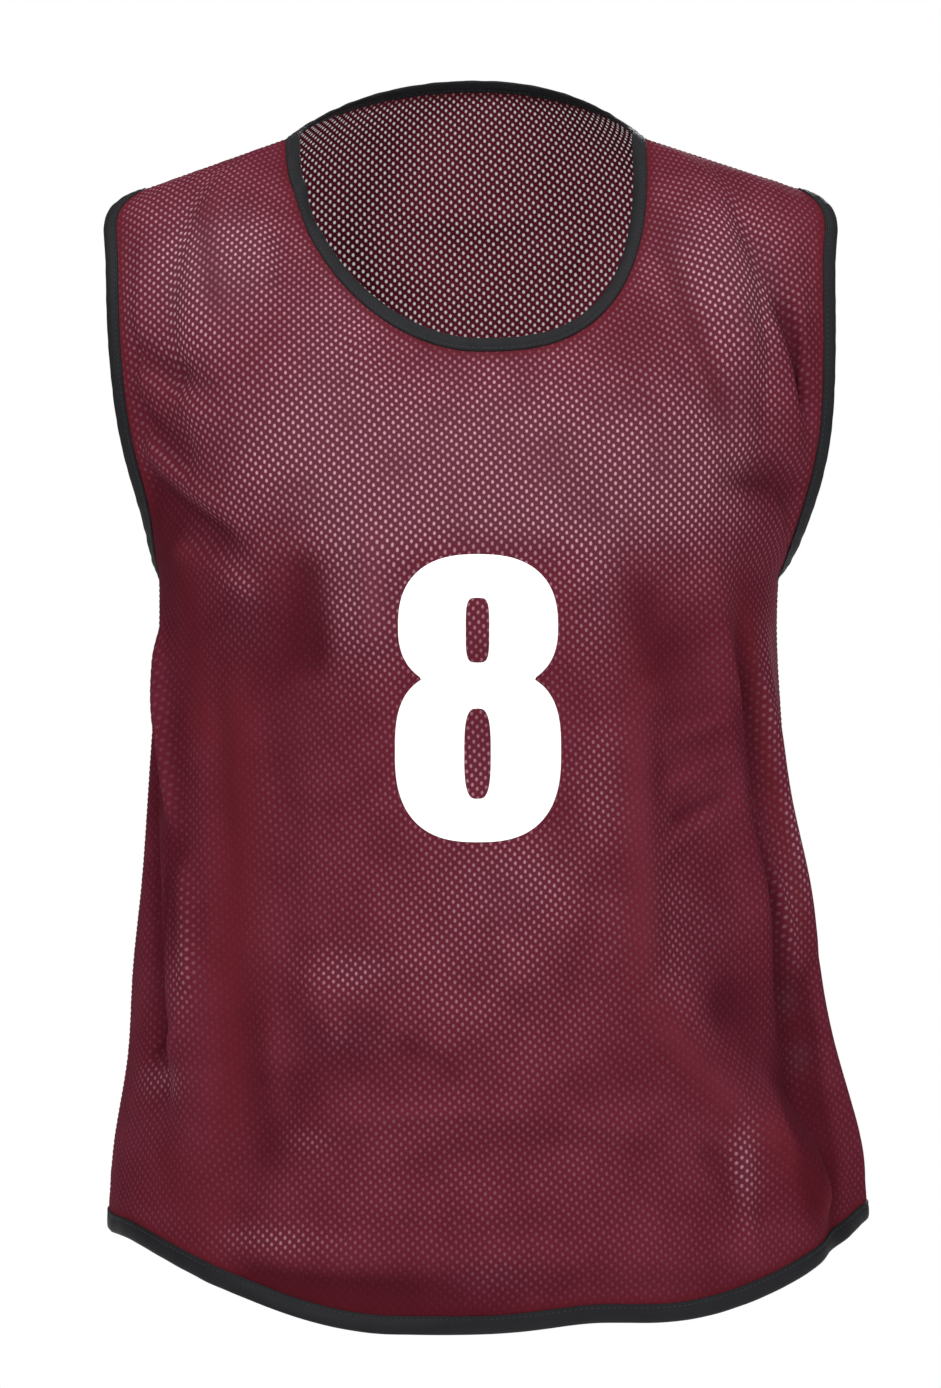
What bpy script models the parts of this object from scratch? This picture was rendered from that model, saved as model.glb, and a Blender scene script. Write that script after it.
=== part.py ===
"""A mesh training bib, worn and hollow: two mesh panels, joined at the shoulders and sides,
with a binding tape sewn round the neck, the armholes and the hem.

Metres, +Z up. The front faces -Y, and the wearer's right arm is at -X. The origin is midway
between the two neck points, where the shoulders carry the bib.
"""

import math
from collections import namedtuple

import bpy
import numpy as np

# Cloth and tape
CLOTH_THICKNESS = 0.0012
HEM_TAPE_WIDTH = 0.0095
NECK_TAPE_WIDTH = 0.0076
ARMHOLE_TAPE_WIDTH = 0.0070
TAPE_THICKNESS = 0.0024
SEAM_GAP = 0.0003

# Share of the way from the side edge to the centre line over which the folds die out
EDGE_CALM = 0.14

# Grid of each panel
COLUMNS = 38
BODY_ROWS = 21
YOKE_ROWS = 17

# Neck, measured to the panel's edge, where the tape starts
NECK_CENTRE_X = 0.004
NECK_HALF_RIGHT = 0.1135
NECK_HALF_LEFT = 0.100
NECK_POINT_Z = 0.0005
FRONT_NECK_DROP = 0.1342
FRONT_NECK_DEPTH = 0.100
FRONT_NECK_LEAN = 0.70
BACK_NECK_RISE = 0.0420
BACK_NECK_PEAK = 1.35
BACK_NECK_DEPTH = 0.085
NECK_ROUNDNESS_RIGHT = 1.87
NECK_ROUNDNESS_LEFT = 2.78
NECK_SHARE = 0.62

# Shoulders and armholes
SHOULDER_TIP_RIGHT_X = 0.195
SHOULDER_TIP_LEFT_X = 0.197
SHOULDER_TIP_Z = -0.030
SHOULDER_SLOPE = 0.33
SHOULDER_ROUND = 1.25
NECK_ROUND = 0.65
ARMHOLE_DEPTH_FRONT = 0.060
ARMHOLE_DEPTH_BACK = 0.060
ARMHOLE_PULL = 1.3
ARMPIT_PULL = 2.6

# Body sections are fuller than an ellipse
SECTION_SQUARENESS = 2.35

# Shares of the way to each side seam where the hem starts and ends its rise
HEM_RISE_RIGHT = (0.12, 0.74)
HEM_RISE_LEFT = (0.22, 0.93)
HEM_LIFT_LEFT = 0.0075

# The front hem rides up a little left of its middle: how far, where and how wide
FRONT_HEM_LIFT = 0.0055
FRONT_LIFT_SHARE = 0.20
FRONT_LIFT_HALF_WIDTH = 0.11
FRONT_LIFT_TOP_Z = -0.52
QUARTER_GIRTH = 0.290

# Heights of the side seam, the rise of the centre above it, and the half sizes there
Section = namedtuple("Section", "side_z centre_rise right left front back")
SECTIONS = [
    Section(-0.640, -0.046, 0.216, 0.233, 0.138, 0.132),
    Section(-0.600, -0.037, 0.213, 0.2275, 0.135, 0.130),
    Section(-0.550, -0.025, 0.205, 0.2145, 0.130, 0.125),
    Section(-0.500, -0.015, 0.202, 0.2050, 0.125, 0.120),
    Section(-0.450, -0.007, 0.197, 0.2005, 0.121, 0.116),
    Section(-0.396, 0.000, 0.193, 0.1905, 0.118, 0.113),
    Section(-0.338, 0.002, 0.189, 0.185, 0.119, 0.112),
    Section(-0.290, 0.004, 0.186, 0.183, 0.123, 0.114),
    Section(-0.262, 0.006, 0.186, 0.184, 0.125, 0.117),
]

# Half width of the garment's side at shares of each armhole's height
ArmholeWidth = namedtuple("ArmholeWidth", "up right left")
ARMHOLE_WIDTHS = [
    ArmholeWidth(0.000, 0.186, 0.184),
    ArmholeWidth(0.040, 0.187, 0.187),
    ArmholeWidth(0.150, 0.1895, 0.195),
    ArmholeWidth(0.310, 0.198, 0.204),
    ArmholeWidth(0.500, 0.2045, 0.2075),
    ArmholeWidth(0.690, 0.2075, 0.2080),
    ArmholeWidth(0.850, 0.2095, 0.2095),
    ArmholeWidth(0.960, 0.205, 0.206),
    ArmholeWidth(1.000, 0.195, 0.197),
]

# Folds, from one end to the other as seen from in front: place, half width, height out of the
# cloth (below zero is a trough) and how far the middle bows upwards or to the left
Fold = namedtuple("Fold", "from_x from_z to_x to_z width height bow")
FRONT_FOLDS = [
    Fold(0.169, -0.262, 0.232, -0.700, 0.016, 0.007, 0.006),
    Fold(0.158, -0.250, 0.214, -0.700, 0.015, -0.009, 0.008),
    Fold(0.147, -0.225, 0.180, -0.520, 0.016, 0.006, 0.004),
    Fold(0.102, -0.250, 0.104, -0.540, 0.020, 0.004, 0.0),
    Fold(0.122, -0.260, 0.124, -0.520, 0.018, -0.004, 0.0),
    Fold(0.098, -0.500, 0.215, -0.650, 0.024, 0.009, 0.008),
    Fold(0.128, -0.505, 0.205, -0.580, 0.024, -0.009, 0.0),
    Fold(-0.180, -0.270, -0.160, -0.600, 0.018, 0.008, 0.004),
    Fold(-0.188, -0.290, -0.176, -0.610, 0.014, -0.010, 0.004),
    Fold(-0.140, -0.310, -0.150, -0.660, 0.034, 0.008, 0.0),
    Fold(-0.098, -0.300, -0.134, -0.640, 0.020, -0.006, 0.0),
    Fold(-0.090, -0.540, -0.150, -0.650, 0.020, -0.006, 0.0),
    Fold(-0.066, -0.190, -0.062, -0.330, 0.024, 0.004, 0.0),
    Fold(-0.110, -0.585, 0.150, -0.585, 0.016, 0.003, 0.030),
    Fold(-0.150, -0.640, 0.150, -0.630, 0.018, 0.004, -0.025),
    Fold(-0.220, -0.128, -0.145, -0.152, 0.012, -0.005, 0.0),
    Fold(-0.220, -0.152, -0.150, -0.198, 0.013, -0.006, 0.0),
    Fold(-0.200, -0.196, -0.125, -0.256, 0.015, -0.007, 0.0),
    Fold(0.172, -0.075, 0.200, -0.200, 0.012, -0.004, 0.0),
    Fold(0.135, -0.202, 0.200, -0.216, 0.012, -0.004, 0.0),
]
BACK_FOLDS = [
    Fold(0.172, -0.250, 0.228, -0.700, 0.018, -0.008, -0.006),
    Fold(0.140, -0.240, 0.170, -0.700, 0.024, 0.007, 0.0),
    Fold(0.095, -0.300, 0.110, -0.700, 0.022, -0.006, 0.0),
    Fold(0.050, -0.360, 0.040, -0.700, 0.024, 0.005, 0.0),
    Fold(-0.012, -0.330, -0.020, -0.700, 0.022, -0.005, 0.0),
    Fold(-0.070, -0.340, -0.078, -0.700, 0.024, 0.006, 0.0),
    Fold(-0.120, -0.290, -0.132, -0.700, 0.022, -0.007, 0.0),
    Fold(-0.165, -0.250, -0.195, -0.700, 0.018, 0.007, 0.004),
    Fold(0.200, -0.150, 0.110, -0.215, 0.016, -0.005, 0.0),
    Fold(0.195, -0.200, 0.110, -0.270, 0.016, -0.005, 0.0),
    Fold(-0.205, -0.145, -0.120, -0.205, 0.016, -0.005, 0.0),
    Fold(-0.195, -0.195, -0.105, -0.275, 0.016, -0.006, 0.0),
]


def spline(knots, values):
    """A natural cubic through the table's rows, as a function of the first column."""
    knots = np.asarray(knots, float)
    values = np.asarray(values, float)
    gaps = np.diff(knots)
    count = len(knots)
    matrix = np.eye(count)
    right_side = np.zeros((count, *values.shape[1:]))
    slopes = np.diff(values, axis=0) / gaps.reshape(-1, *[1] * (values.ndim - 1))
    for k in range(1, count - 1):
        matrix[k, k - 1 : k + 2] = gaps[k - 1], 2 * (gaps[k - 1] + gaps[k]), gaps[k]
        right_side[k] = 6 * (slopes[k] - slopes[k - 1])
    bends = np.linalg.solve(matrix, right_side)

    def read(at):
        k = int(np.clip(np.searchsorted(knots, at) - 1, 0, count - 2))
        gap = gaps[k]
        before = (knots[k + 1] - at) / gap
        after = (at - knots[k]) / gap
        curve = (before**3 - before) * bends[k] + (after**3 - after) * bends[k + 1]
        return before * values[k] + after * values[k + 1] + curve * gap**2 / 6

    return read


section_at = spline([s.side_z for s in SECTIONS], [s[1:] for s in SECTIONS])
armhole_width_at = spline([a.up for a in ARMHOLE_WIDTHS], [a[1:] for a in ARMHOLE_WIDTHS])
ARMPIT_Z = SECTIONS[-1].side_z
HEM_SIDE_Z = SECTIONS[0].side_z


def smooth(share):
    share = np.clip(share, 0.0, 1.0)
    return share * share * (3 - 2 * share)


def rounded(angle, squareness):
    """Sine and cosine of an angle, pushed out from a circle towards a square."""
    sine, cosine = math.sin(angle), math.cos(angle)
    reach = (abs(sine) ** squareness + abs(cosine) ** squareness) ** (-1 / squareness)
    return reach * sine, reach * cosine


def body_point(share, side_z, facing):
    """A point of the tube below the armpits: share -1 and 1 are the side seams."""
    rise, right, left, front, back = section_at(side_z)
    sine, cosine = rounded(share * math.pi / 2, SECTION_SQUARENESS)
    half = right if share < 0 else left
    depth = front if facing < 0 else back
    start, end = HEM_RISE_RIGHT if share < 0 else HEM_RISE_LEFT
    lift = HEM_LIFT_LEFT * smooth(share) * (ARMPIT_Z - side_z) / (ARMPIT_Z - HEM_SIDE_Z)
    if facing < 0:
        near = math.exp(-(((share - FRONT_LIFT_SHARE) / FRONT_LIFT_HALF_WIDTH) ** 2))
        low = smooth((FRONT_LIFT_TOP_Z - side_z) / (FRONT_LIFT_TOP_Z - HEM_SIDE_Z))
        lift += FRONT_HEM_LIFT * near * low
    z = side_z + lift + rise * (1 - smooth((abs(share) - start) / (end - start)))
    return np.array([half * sine, facing * (depth * cosine + SEAM_GAP / 2), z])


def armhole_point(share, up, facing):
    """A point of the armhole's edge, from the armpit at 0 to the shoulder tip at 1."""
    height = (1 - math.cos(math.pi * up)) / 2
    right, left = armhole_width_at(height)
    half = -right if share < 0 else left
    depth = ARMHOLE_DEPTH_FRONT if facing < 0 else ARMHOLE_DEPTH_BACK
    y = facing * (depth * math.sin(math.pi * up) + SEAM_GAP / 2)
    tip = top_point(math.copysign(1.0, share), facing)[2]
    foot = body_point(math.copysign(1.0, share), ARMPIT_Z, facing)[2]
    return np.array([half, y, foot + (tip - foot) * height])


def neck_point(turn, facing):
    """A point of the neck's edge: turn 0 is the centre line, -1 and 1 are the neck points."""
    angle = turn * math.pi / 2
    half = NECK_HALF_RIGHT if turn < 0 else NECK_HALF_LEFT
    if facing < 0:
        roundness = NECK_ROUNDNESS_RIGHT if turn < 0 else NECK_ROUNDNESS_LEFT
        sine, cosine = rounded(angle, roundness)
        z = NECK_POINT_Z - FRONT_NECK_DROP * cosine
        y = -FRONT_NECK_DEPTH * max(cosine, 0.0) ** FRONT_NECK_LEAN
    else:
        sine, cosine = math.sin(angle), max(math.cos(angle), 0.0)
        z = NECK_POINT_Z + BACK_NECK_RISE * cosine**BACK_NECK_PEAK
        y = BACK_NECK_DEPTH * cosine
    return np.array([NECK_CENTRE_X + half * sine, y + facing * SEAM_GAP / 2, z])


def top_point(share, facing):
    """The panel's top edge: the neck, and the shoulder seams on both sides of it."""
    if abs(share) <= NECK_SHARE:
        return neck_point(share / NECK_SHARE, facing)
    along = (abs(share) - NECK_SHARE) / (1 - NECK_SHARE)
    start = neck_point(math.copysign(1.0, share), facing)
    tip_x = -SHOULDER_TIP_RIGHT_X if share < 0 else SHOULDER_TIP_LEFT_X
    tip = np.array([tip_x, start[1], SHOULDER_TIP_Z])
    return start * (1 - along) + tip * along


def top_direction(share, facing):
    """Which way, and how straight, the cloth runs where it reaches the top edge."""
    at_centre = np.array([0.0, 0.40, 0.92]) if facing < 0 else np.array([0.0, -0.75, 0.66])
    lean = smooth((1 - abs(share)) / (1 - NECK_SHARE))
    inward = -math.copysign(lean, share)
    at_shoulder = np.array([inward, -facing, SHOULDER_SLOPE * lean])
    mix = smooth(abs(share) / NECK_SHARE)
    direction = at_centre * (1 - mix) + at_shoulder * mix
    length = NECK_ROUND * (1 - mix) + SHOULDER_ROUND * mix
    return direction / np.linalg.norm(direction) * length


def yoke_curve(share, up, facing):
    """The way from the armpit level to the top edge, before the armhole pulls it."""
    start, end = body_point(share, ARMPIT_Z, facing), top_point(share, facing)
    step = 0.010
    climb = (start - body_point(share, ARMPIT_Z - step, facing)) / step
    length = np.linalg.norm(end - start)
    leave = climb * length
    arrive = top_direction(share, facing) * length
    u2, u3 = up * up, up**3
    return (
        (2 * u3 - 3 * u2 + 1) * start
        + (u3 - 2 * u2 + up) * leave
        + (3 * u2 - 2 * u3) * end
        + (u3 - u2) * arrive
    )


def yoke_point(share, up, facing):
    """A point of the panel above the armpits."""
    edge = math.copysign(1.0, share)
    pull = armhole_point(edge, up, facing) - yoke_curve(edge, up, facing)
    spread = ARMHOLE_PULL + (ARMPIT_PULL - ARMHOLE_PULL) * (1 - smooth(up / 0.8))
    return yoke_curve(share, up, facing) + pull * abs(share) ** spread


def panel_grid(facing):
    """Rows of points of the smooth panel, from the hem to the top edge."""
    shares = np.linspace(-1, 1, COLUMNS + 1)
    heights = np.linspace(HEM_SIDE_Z, ARMPIT_Z, BODY_ROWS + 1)
    rows = [[body_point(share, z, facing) for share in shares] for z in heights]
    for up in np.linspace(0, 1, YOKE_ROWS + 1)[1:]:
        rows.append([yoke_point(share, up, facing) for share in shares])
    return np.array(rows)


def normals_of(grid, facing):
    """Unit vectors out of the garment at each point of a panel's grid."""
    faces = np.cross(grid[1:, 1:] - grid[:-1, :-1], grid[1:, :-1] - grid[:-1, 1:])
    faces /= np.linalg.norm(faces, axis=-1, keepdims=True)
    around = np.pad(faces, ((1, 1), (1, 1), (0, 0)))
    total = around[1:, 1:] + around[1:, :-1] + around[:-1, 1:] + around[:-1, :-1]
    return total * -facing / np.linalg.norm(total, axis=-1, keepdims=True)


def girth_place(x, z):
    """How far round from the centre line a point lies, from its place as seen from in front."""
    if z <= ARMPIT_Z:
        halves = section_at(max(z, HEM_SIDE_Z))[1:3]
    else:
        halves = armhole_width_at(min((z - ARMPIT_Z) / (SHOULDER_TIP_Z - ARMPIT_Z), 1.0))
    half = halves[0] if x < 0 else halves[1]
    return math.asin(float(np.clip(x / half, -1, 1))) * 2 / math.pi * QUARTER_GIRTH


def fold_heights(grid, folds):
    """The height of all the folds at each point of a panel's grid."""
    girth = np.array([[girth_place(p[0], p[2]) for p in row] for row in grid])
    places = np.stack([girth, grid[..., 2]], axis=-1)
    total = np.zeros(girth.shape)
    for fold in folds:
        start = np.array([girth_place(fold.from_x, fold.from_z), fold.from_z])
        end = np.array([girth_place(fold.to_x, fold.to_z), fold.to_z])
        length = np.linalg.norm(end - start)
        along = (end - start) / length
        share = (places - start) @ along / length
        off = (places - start) @ np.array([-along[1], along[0]])
        inside = np.clip(share, 0, 1)
        off = off - fold.bow * 4 * inside * (1 - inside)
        fade = smooth(share / 0.25) * smooth((1 - share) / 0.25)
        total += fold.height * np.exp(-((off / fold.width) ** 2)) * fade
    return total


def folded_panel(facing):
    grid = panel_grid(facing)
    folds = FRONT_FOLDS if facing < 0 else BACK_FOLDS
    heights = fold_heights(grid, folds)
    edge_distance = 1 - np.abs(np.linspace(-1, 1, COLUMNS + 1))
    heights = heights * smooth(edge_distance / EDGE_CALM)
    return grid + normals_of(grid, facing) * heights[..., None]


def material(name, colour, roughness):
    made = bpy.data.materials.new(name)
    made.use_nodes = True
    shader = made.node_tree.nodes["Principled BSDF"]
    shader.inputs["Base Color"].default_value = (*colour, 1.0)
    shader.inputs["Roughness"].default_value = roughness
    return made


def add_sheet(name, grid, finish, thickness, closed, parent):
    """A wall of even thickness round a grid of points, whose last column may meet its first."""
    rows, columns = grid.shape[:2]
    last = columns if closed else columns - 1
    faces = []
    for row in range(rows - 1):
        for column in range(last):
            after = (column + 1) % columns
            low, high = row * columns, (row + 1) * columns
            faces.append((low + column, low + after, high + after, high + column))
    mesh = bpy.data.meshes.new(name)
    mesh.from_pydata([tuple(p) for p in grid.reshape(-1, 3)], [], faces)
    mesh.materials.append(finish)
    mesh.shade_smooth()
    sheet = bpy.data.objects.new(name, mesh)
    sheet.parent = parent
    bpy.context.scene.collection.objects.link(sheet)
    wall = sheet.modifiers.new("wall", "SOLIDIFY")
    wall.thickness = thickness
    wall.offset = 0.0
    wall.use_even_offset = True
    return sheet


def tape_grid(edge, outward, width, gap=SEAM_GAP):
    """A closed tape beyond a panel's edge, from the edge's own points."""
    return np.array([edge + outward * w for w in (gap, width / 2, width)])


def loop_frames(edge, inside, normal):
    """For a closed edge: the direction out of the panel, and the normal, at each point."""
    tangent = np.roll(edge, -1, axis=0) - np.roll(edge, 1, axis=0)
    tangent /= np.linalg.norm(tangent, axis=1, keepdims=True)
    normal -= tangent * np.sum(normal * tangent, axis=1, keepdims=True)
    normal /= np.linalg.norm(normal, axis=1, keepdims=True)
    outward = np.cross(tangent, normal)
    wanted = np.sign(np.sum(outward * (edge - inside), axis=1).sum())
    return outward * wanted, normal


def joined(front, back):
    """One closed loop from two open edges that start and end at the same seams."""
    start = (front[0] + back[0]) / 2
    end = (front[-1] + back[-1]) / 2
    return np.array([start, *front[1:-1], end, *back[-2:0:-1]])


def edge_loop(front_parts, back_parts):
    """Edge, inside neighbours and normals of a loop over both panels."""
    edge, inside, normal = (joined(f, b) for f, b in zip(front_parts, back_parts))
    return edge, *loop_frames(edge, inside, normal)


def build():
    for old in list(bpy.data.objects):
        bpy.data.objects.remove(old)
    bib = bpy.data.objects.new("bib", None)
    bpy.context.scene.collection.objects.link(bib)
    mesh_cloth = material("mesh_cloth", (0.145, 0.022, 0.036), 0.62)
    tape = material("binding_tape", (0.026, 0.027, 0.030), 0.72)

    front, back = folded_panel(-1), folded_panel(1)
    front_normal, back_normal = normals_of(front, -1), normals_of(back, 1)
    add_sheet("front_panel", front, mesh_cloth, CLOTH_THICKNESS, False, bib)
    add_sheet("back_panel", back[:, ::-1], mesh_cloth, CLOTH_THICKNESS, False, bib)

    shares = np.linspace(-1, 1, COLUMNS + 1)
    neck = np.abs(shares) <= NECK_SHARE
    both = ((front, front_normal), (back, back_normal))
    hem = edge_loop(*[(g[0], g[1], n[0]) for g, n in both])
    neckline = edge_loop(*[(g[-1][neck], g[-2][neck], n[-1][neck]) for g, n in both])
    loops = {"hem_binding": (*hem, HEM_TAPE_WIDTH), "neck_binding": (*neckline, NECK_TAPE_WIDTH)}
    arm = slice(BODY_ROWS, None)
    for name, side, inner in (("right", 0, 1), ("left", -1, -2)):
        parts = [(g[arm, side], g[arm, inner], n[arm, side]) for g, n in both]
        loops[f"armhole_binding_{name}"] = (*edge_loop(*parts), ARMHOLE_TAPE_WIDTH)
    for name, (edge, outward, _, width) in loops.items():
        add_sheet(name, tape_grid(edge, outward, width), tape, TAPE_THICKNESS, True, bib)


build()
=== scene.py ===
import math
from collections import namedtuple

import bmesh
import bpy
import numpy as np
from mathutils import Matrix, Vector
from mathutils.bvhtree import BVHTree


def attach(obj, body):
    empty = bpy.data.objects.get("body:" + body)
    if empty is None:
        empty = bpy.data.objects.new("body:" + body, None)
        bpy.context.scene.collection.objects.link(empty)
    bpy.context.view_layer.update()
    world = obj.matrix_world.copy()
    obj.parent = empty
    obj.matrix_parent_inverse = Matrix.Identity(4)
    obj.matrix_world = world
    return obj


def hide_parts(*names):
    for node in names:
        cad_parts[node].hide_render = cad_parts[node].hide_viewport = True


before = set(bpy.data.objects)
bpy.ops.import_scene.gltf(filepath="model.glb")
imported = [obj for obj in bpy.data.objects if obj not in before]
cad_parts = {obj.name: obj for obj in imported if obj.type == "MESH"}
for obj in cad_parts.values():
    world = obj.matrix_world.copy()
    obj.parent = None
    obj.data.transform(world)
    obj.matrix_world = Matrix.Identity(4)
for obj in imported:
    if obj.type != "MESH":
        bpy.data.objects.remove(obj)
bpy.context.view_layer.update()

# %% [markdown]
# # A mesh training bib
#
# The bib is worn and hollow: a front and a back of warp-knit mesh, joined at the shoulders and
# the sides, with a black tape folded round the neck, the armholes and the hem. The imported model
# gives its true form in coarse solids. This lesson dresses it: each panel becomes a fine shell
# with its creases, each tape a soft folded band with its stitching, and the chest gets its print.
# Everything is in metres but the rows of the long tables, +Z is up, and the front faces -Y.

FRONT, BACK = -1, 1


def placed(name, data):
    """A new object in the scene with this data."""
    made = bpy.data.objects.new(name, data)
    bpy.context.scene.collection.objects.link(made)
    return made


# %% [markdown]
# ## The camera
#
# The photograph was taken from straight in front, at the height of the bib's middle, with a long
# lens. One pixel of its 941 x 1388 covers 0.6 mm at the depth of the side seams. The lens
# follows from that: the sensor's long side maps onto the picture's long side.

# %% The camera, level and square to the bib
PICTURE = (941, 1388)
PIXEL = 0.0006
CAMERA_PLACE = (0.0, -2.5, -0.332)
SENSOR = 36.0

camera = bpy.data.cameras.new("camera")
camera.sensor_width = SENSOR
camera.lens = SENSOR * abs(CAMERA_PLACE[1]) / (PICTURE[1] * PIXEL)
camera_rig = placed("camera", camera)
camera_rig.location = CAMERA_PLACE
camera_rig.rotation_euler = (math.radians(90), 0, 0)
bpy.context.scene.camera = camera_rig
print("lens:", round(camera.lens, 2), "mm")

# %% [markdown]
# ## The cut of the bib
#
# A pattern cutter knows a garment by a few sizes and sections. These are the same sizes that the
# solids were made from, so the fine shells land on them. Working from sizes, not from the solids'
# own points, lets each shell be as fine as its creases need.

# %% Sizes of the cut
TAPE_WIDTHS = {"hem": 0.0095, "neck": 0.0076, "right_armhole": 0.0070, "left_armhole": 0.0070}
TAPE_THICKNESS = 0.0024
SEAM_GAP = 0.0003
EDGE_CALM = 0.14

NECK_CENTRE_X = 0.004
NECK_HALF_RIGHT = 0.1135
NECK_HALF_LEFT = 0.100
NECK_POINT_Z = 0.0005
FRONT_NECK_DROP = 0.1342
FRONT_NECK_DEPTH = 0.100
FRONT_NECK_LEAN = 0.70
BACK_NECK_RISE = 0.0420
BACK_NECK_PEAK = 1.35
BACK_NECK_DEPTH = 0.085
NECK_ROUNDNESS_RIGHT = 1.87
NECK_ROUNDNESS_LEFT = 2.78
NECK_SHARE = 0.62

SHOULDER_TIP_RIGHT_X = 0.195
SHOULDER_TIP_LEFT_X = 0.197
SHOULDER_TIP_Z = -0.030
SHOULDER_SLOPE = 0.33
SHOULDER_ROUND = 1.25
NECK_ROUND = 0.65
ARMHOLE_DEPTH = 0.060
ARMHOLE_PULL = 1.3
ARMPIT_PULL = 2.6

SECTION_SQUARENESS = 2.35
HEM_RISE_RIGHT = (0.12, 0.74)
HEM_RISE_LEFT = (0.22, 0.93)
HEM_LIFT_LEFT = 0.0075
FRONT_HEM_LIFT = 0.0055
FRONT_LIFT_SHARE = 0.20
FRONT_LIFT_HALF_WIDTH = 0.11
FRONT_LIFT_TOP_Z = -0.52
QUARTER_GIRTH = 0.290

# %% Tables of sections: heights of the side seam and the half sizes there
Section = namedtuple("Section", "side_z centre_rise right left front back")
SECTIONS = [
    Section(-0.640, -0.046, 0.216, 0.233, 0.138, 0.132),
    Section(-0.600, -0.037, 0.213, 0.2275, 0.135, 0.130),
    Section(-0.550, -0.025, 0.205, 0.2145, 0.130, 0.125),
    Section(-0.500, -0.015, 0.202, 0.2050, 0.125, 0.120),
    Section(-0.450, -0.007, 0.197, 0.2005, 0.121, 0.116),
    Section(-0.396, 0.000, 0.193, 0.1905, 0.118, 0.113),
    Section(-0.338, 0.002, 0.189, 0.185, 0.119, 0.112),
    Section(-0.290, 0.004, 0.186, 0.183, 0.123, 0.114),
    Section(-0.262, 0.006, 0.186, 0.184, 0.125, 0.117),
]
ArmholeWidth = namedtuple("ArmholeWidth", "up right left")
ARMHOLE_WIDTHS = [
    ArmholeWidth(0.000, 0.186, 0.184),
    ArmholeWidth(0.040, 0.187, 0.187),
    ArmholeWidth(0.150, 0.1895, 0.195),
    ArmholeWidth(0.310, 0.198, 0.204),
    ArmholeWidth(0.500, 0.2045, 0.2075),
    ArmholeWidth(0.690, 0.2075, 0.2080),
    ArmholeWidth(0.850, 0.2095, 0.2095),
    ArmholeWidth(0.960, 0.205, 0.206),
    ArmholeWidth(1.000, 0.195, 0.197),
]
ARMPIT_Z = SECTIONS[-1].side_z
HEM_SIDE_Z = SECTIONS[0].side_z

# %% Smooth curves through the tables
def spline(knots, values):
    """A natural cubic through the table's rows, as a function of the first column."""
    knots = np.asarray(knots, float)
    values = np.asarray(values, float)
    gaps = np.diff(knots)
    count = len(knots)
    matrix = np.eye(count)
    right_side = np.zeros((count, *values.shape[1:]))
    slopes = np.diff(values, axis=0) / gaps[:, None]
    for k in range(1, count - 1):
        matrix[k, k - 1 : k + 2] = gaps[k - 1], 2 * (gaps[k - 1] + gaps[k]), gaps[k]
        right_side[k] = 6 * (slopes[k] - slopes[k - 1])
    bends = np.linalg.solve(matrix, right_side)

    def read(at):
        at = np.asarray(at, float)
        k = np.clip(np.searchsorted(knots, at) - 1, 0, count - 2)
        gap = gaps[k][..., None]
        before = (knots[k + 1] - at)[..., None] / gap
        after = (at - knots[k])[..., None] / gap
        curve = (before**3 - before) * bends[k] + (after**3 - after) * bends[k + 1]
        return before * values[k] + after * values[k + 1] + curve * gap**2 / 6

    return read


section_at = spline([s.side_z for s in SECTIONS], [s[1:] for s in SECTIONS])
armhole_width_at = spline([a.up for a in ARMHOLE_WIDTHS], [a[1:] for a in ARMHOLE_WIDTHS])


def smooth(share):
    share = np.clip(share, 0.0, 1.0)
    return share * share * (3 - 2 * share)


def stacked(x, y, z):
    return np.stack(np.broadcast_arrays(x, y, z), axis=-1)


def unit(vectors):
    return vectors / np.linalg.norm(vectors, axis=-1, keepdims=True)


def rounded(angle, squareness):
    """Sine and cosine of an angle, pushed out from a circle towards a square."""
    sine, cosine = np.sin(angle), np.cos(angle)
    reach = (np.abs(sine) ** squareness + np.abs(cosine) ** squareness) ** (-1 / squareness)
    return reach * sine, reach * cosine


# %% [markdown]
# ## The form of a panel
#
# A panel is a grid of points. Its columns run from the hem to the top edge, and its rows from the
# wearer's right side (share -1) to the left (share 1). Below the armpits the rows are rounded
# sections of a tube. Above them each column is a curve that leaves the tube smoothly and arrives
# at the neck or the shoulder seam, and the armhole pulls the outer columns to its own edge.

# %% The tube below the armpits, the armholes and the neck
def body_points(share, side_z, facing):
    rise, right, left, front, back = np.moveaxis(section_at(side_z), -1, 0)
    sine, cosine = rounded(share * math.pi / 2, SECTION_SQUARENESS)
    on_right = share < 0
    half = np.where(on_right, right, left)
    depth = front if facing == FRONT else back
    start = np.where(on_right, HEM_RISE_RIGHT[0], HEM_RISE_LEFT[0])
    end = np.where(on_right, HEM_RISE_RIGHT[1], HEM_RISE_LEFT[1])
    lift = HEM_LIFT_LEFT * smooth(share) * (ARMPIT_Z - side_z) / (ARMPIT_Z - HEM_SIDE_Z)
    if facing == FRONT:
        near = np.exp(-(((share - FRONT_LIFT_SHARE) / FRONT_LIFT_HALF_WIDTH) ** 2))
        low = smooth((FRONT_LIFT_TOP_Z - side_z) / (FRONT_LIFT_TOP_Z - HEM_SIDE_Z))
        lift = lift + FRONT_HEM_LIFT * near * low
    z = side_z + lift + rise * (1 - smooth((np.abs(share) - start) / (end - start)))
    return stacked(half * sine, facing * (depth * cosine + SEAM_GAP / 2), z)


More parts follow.
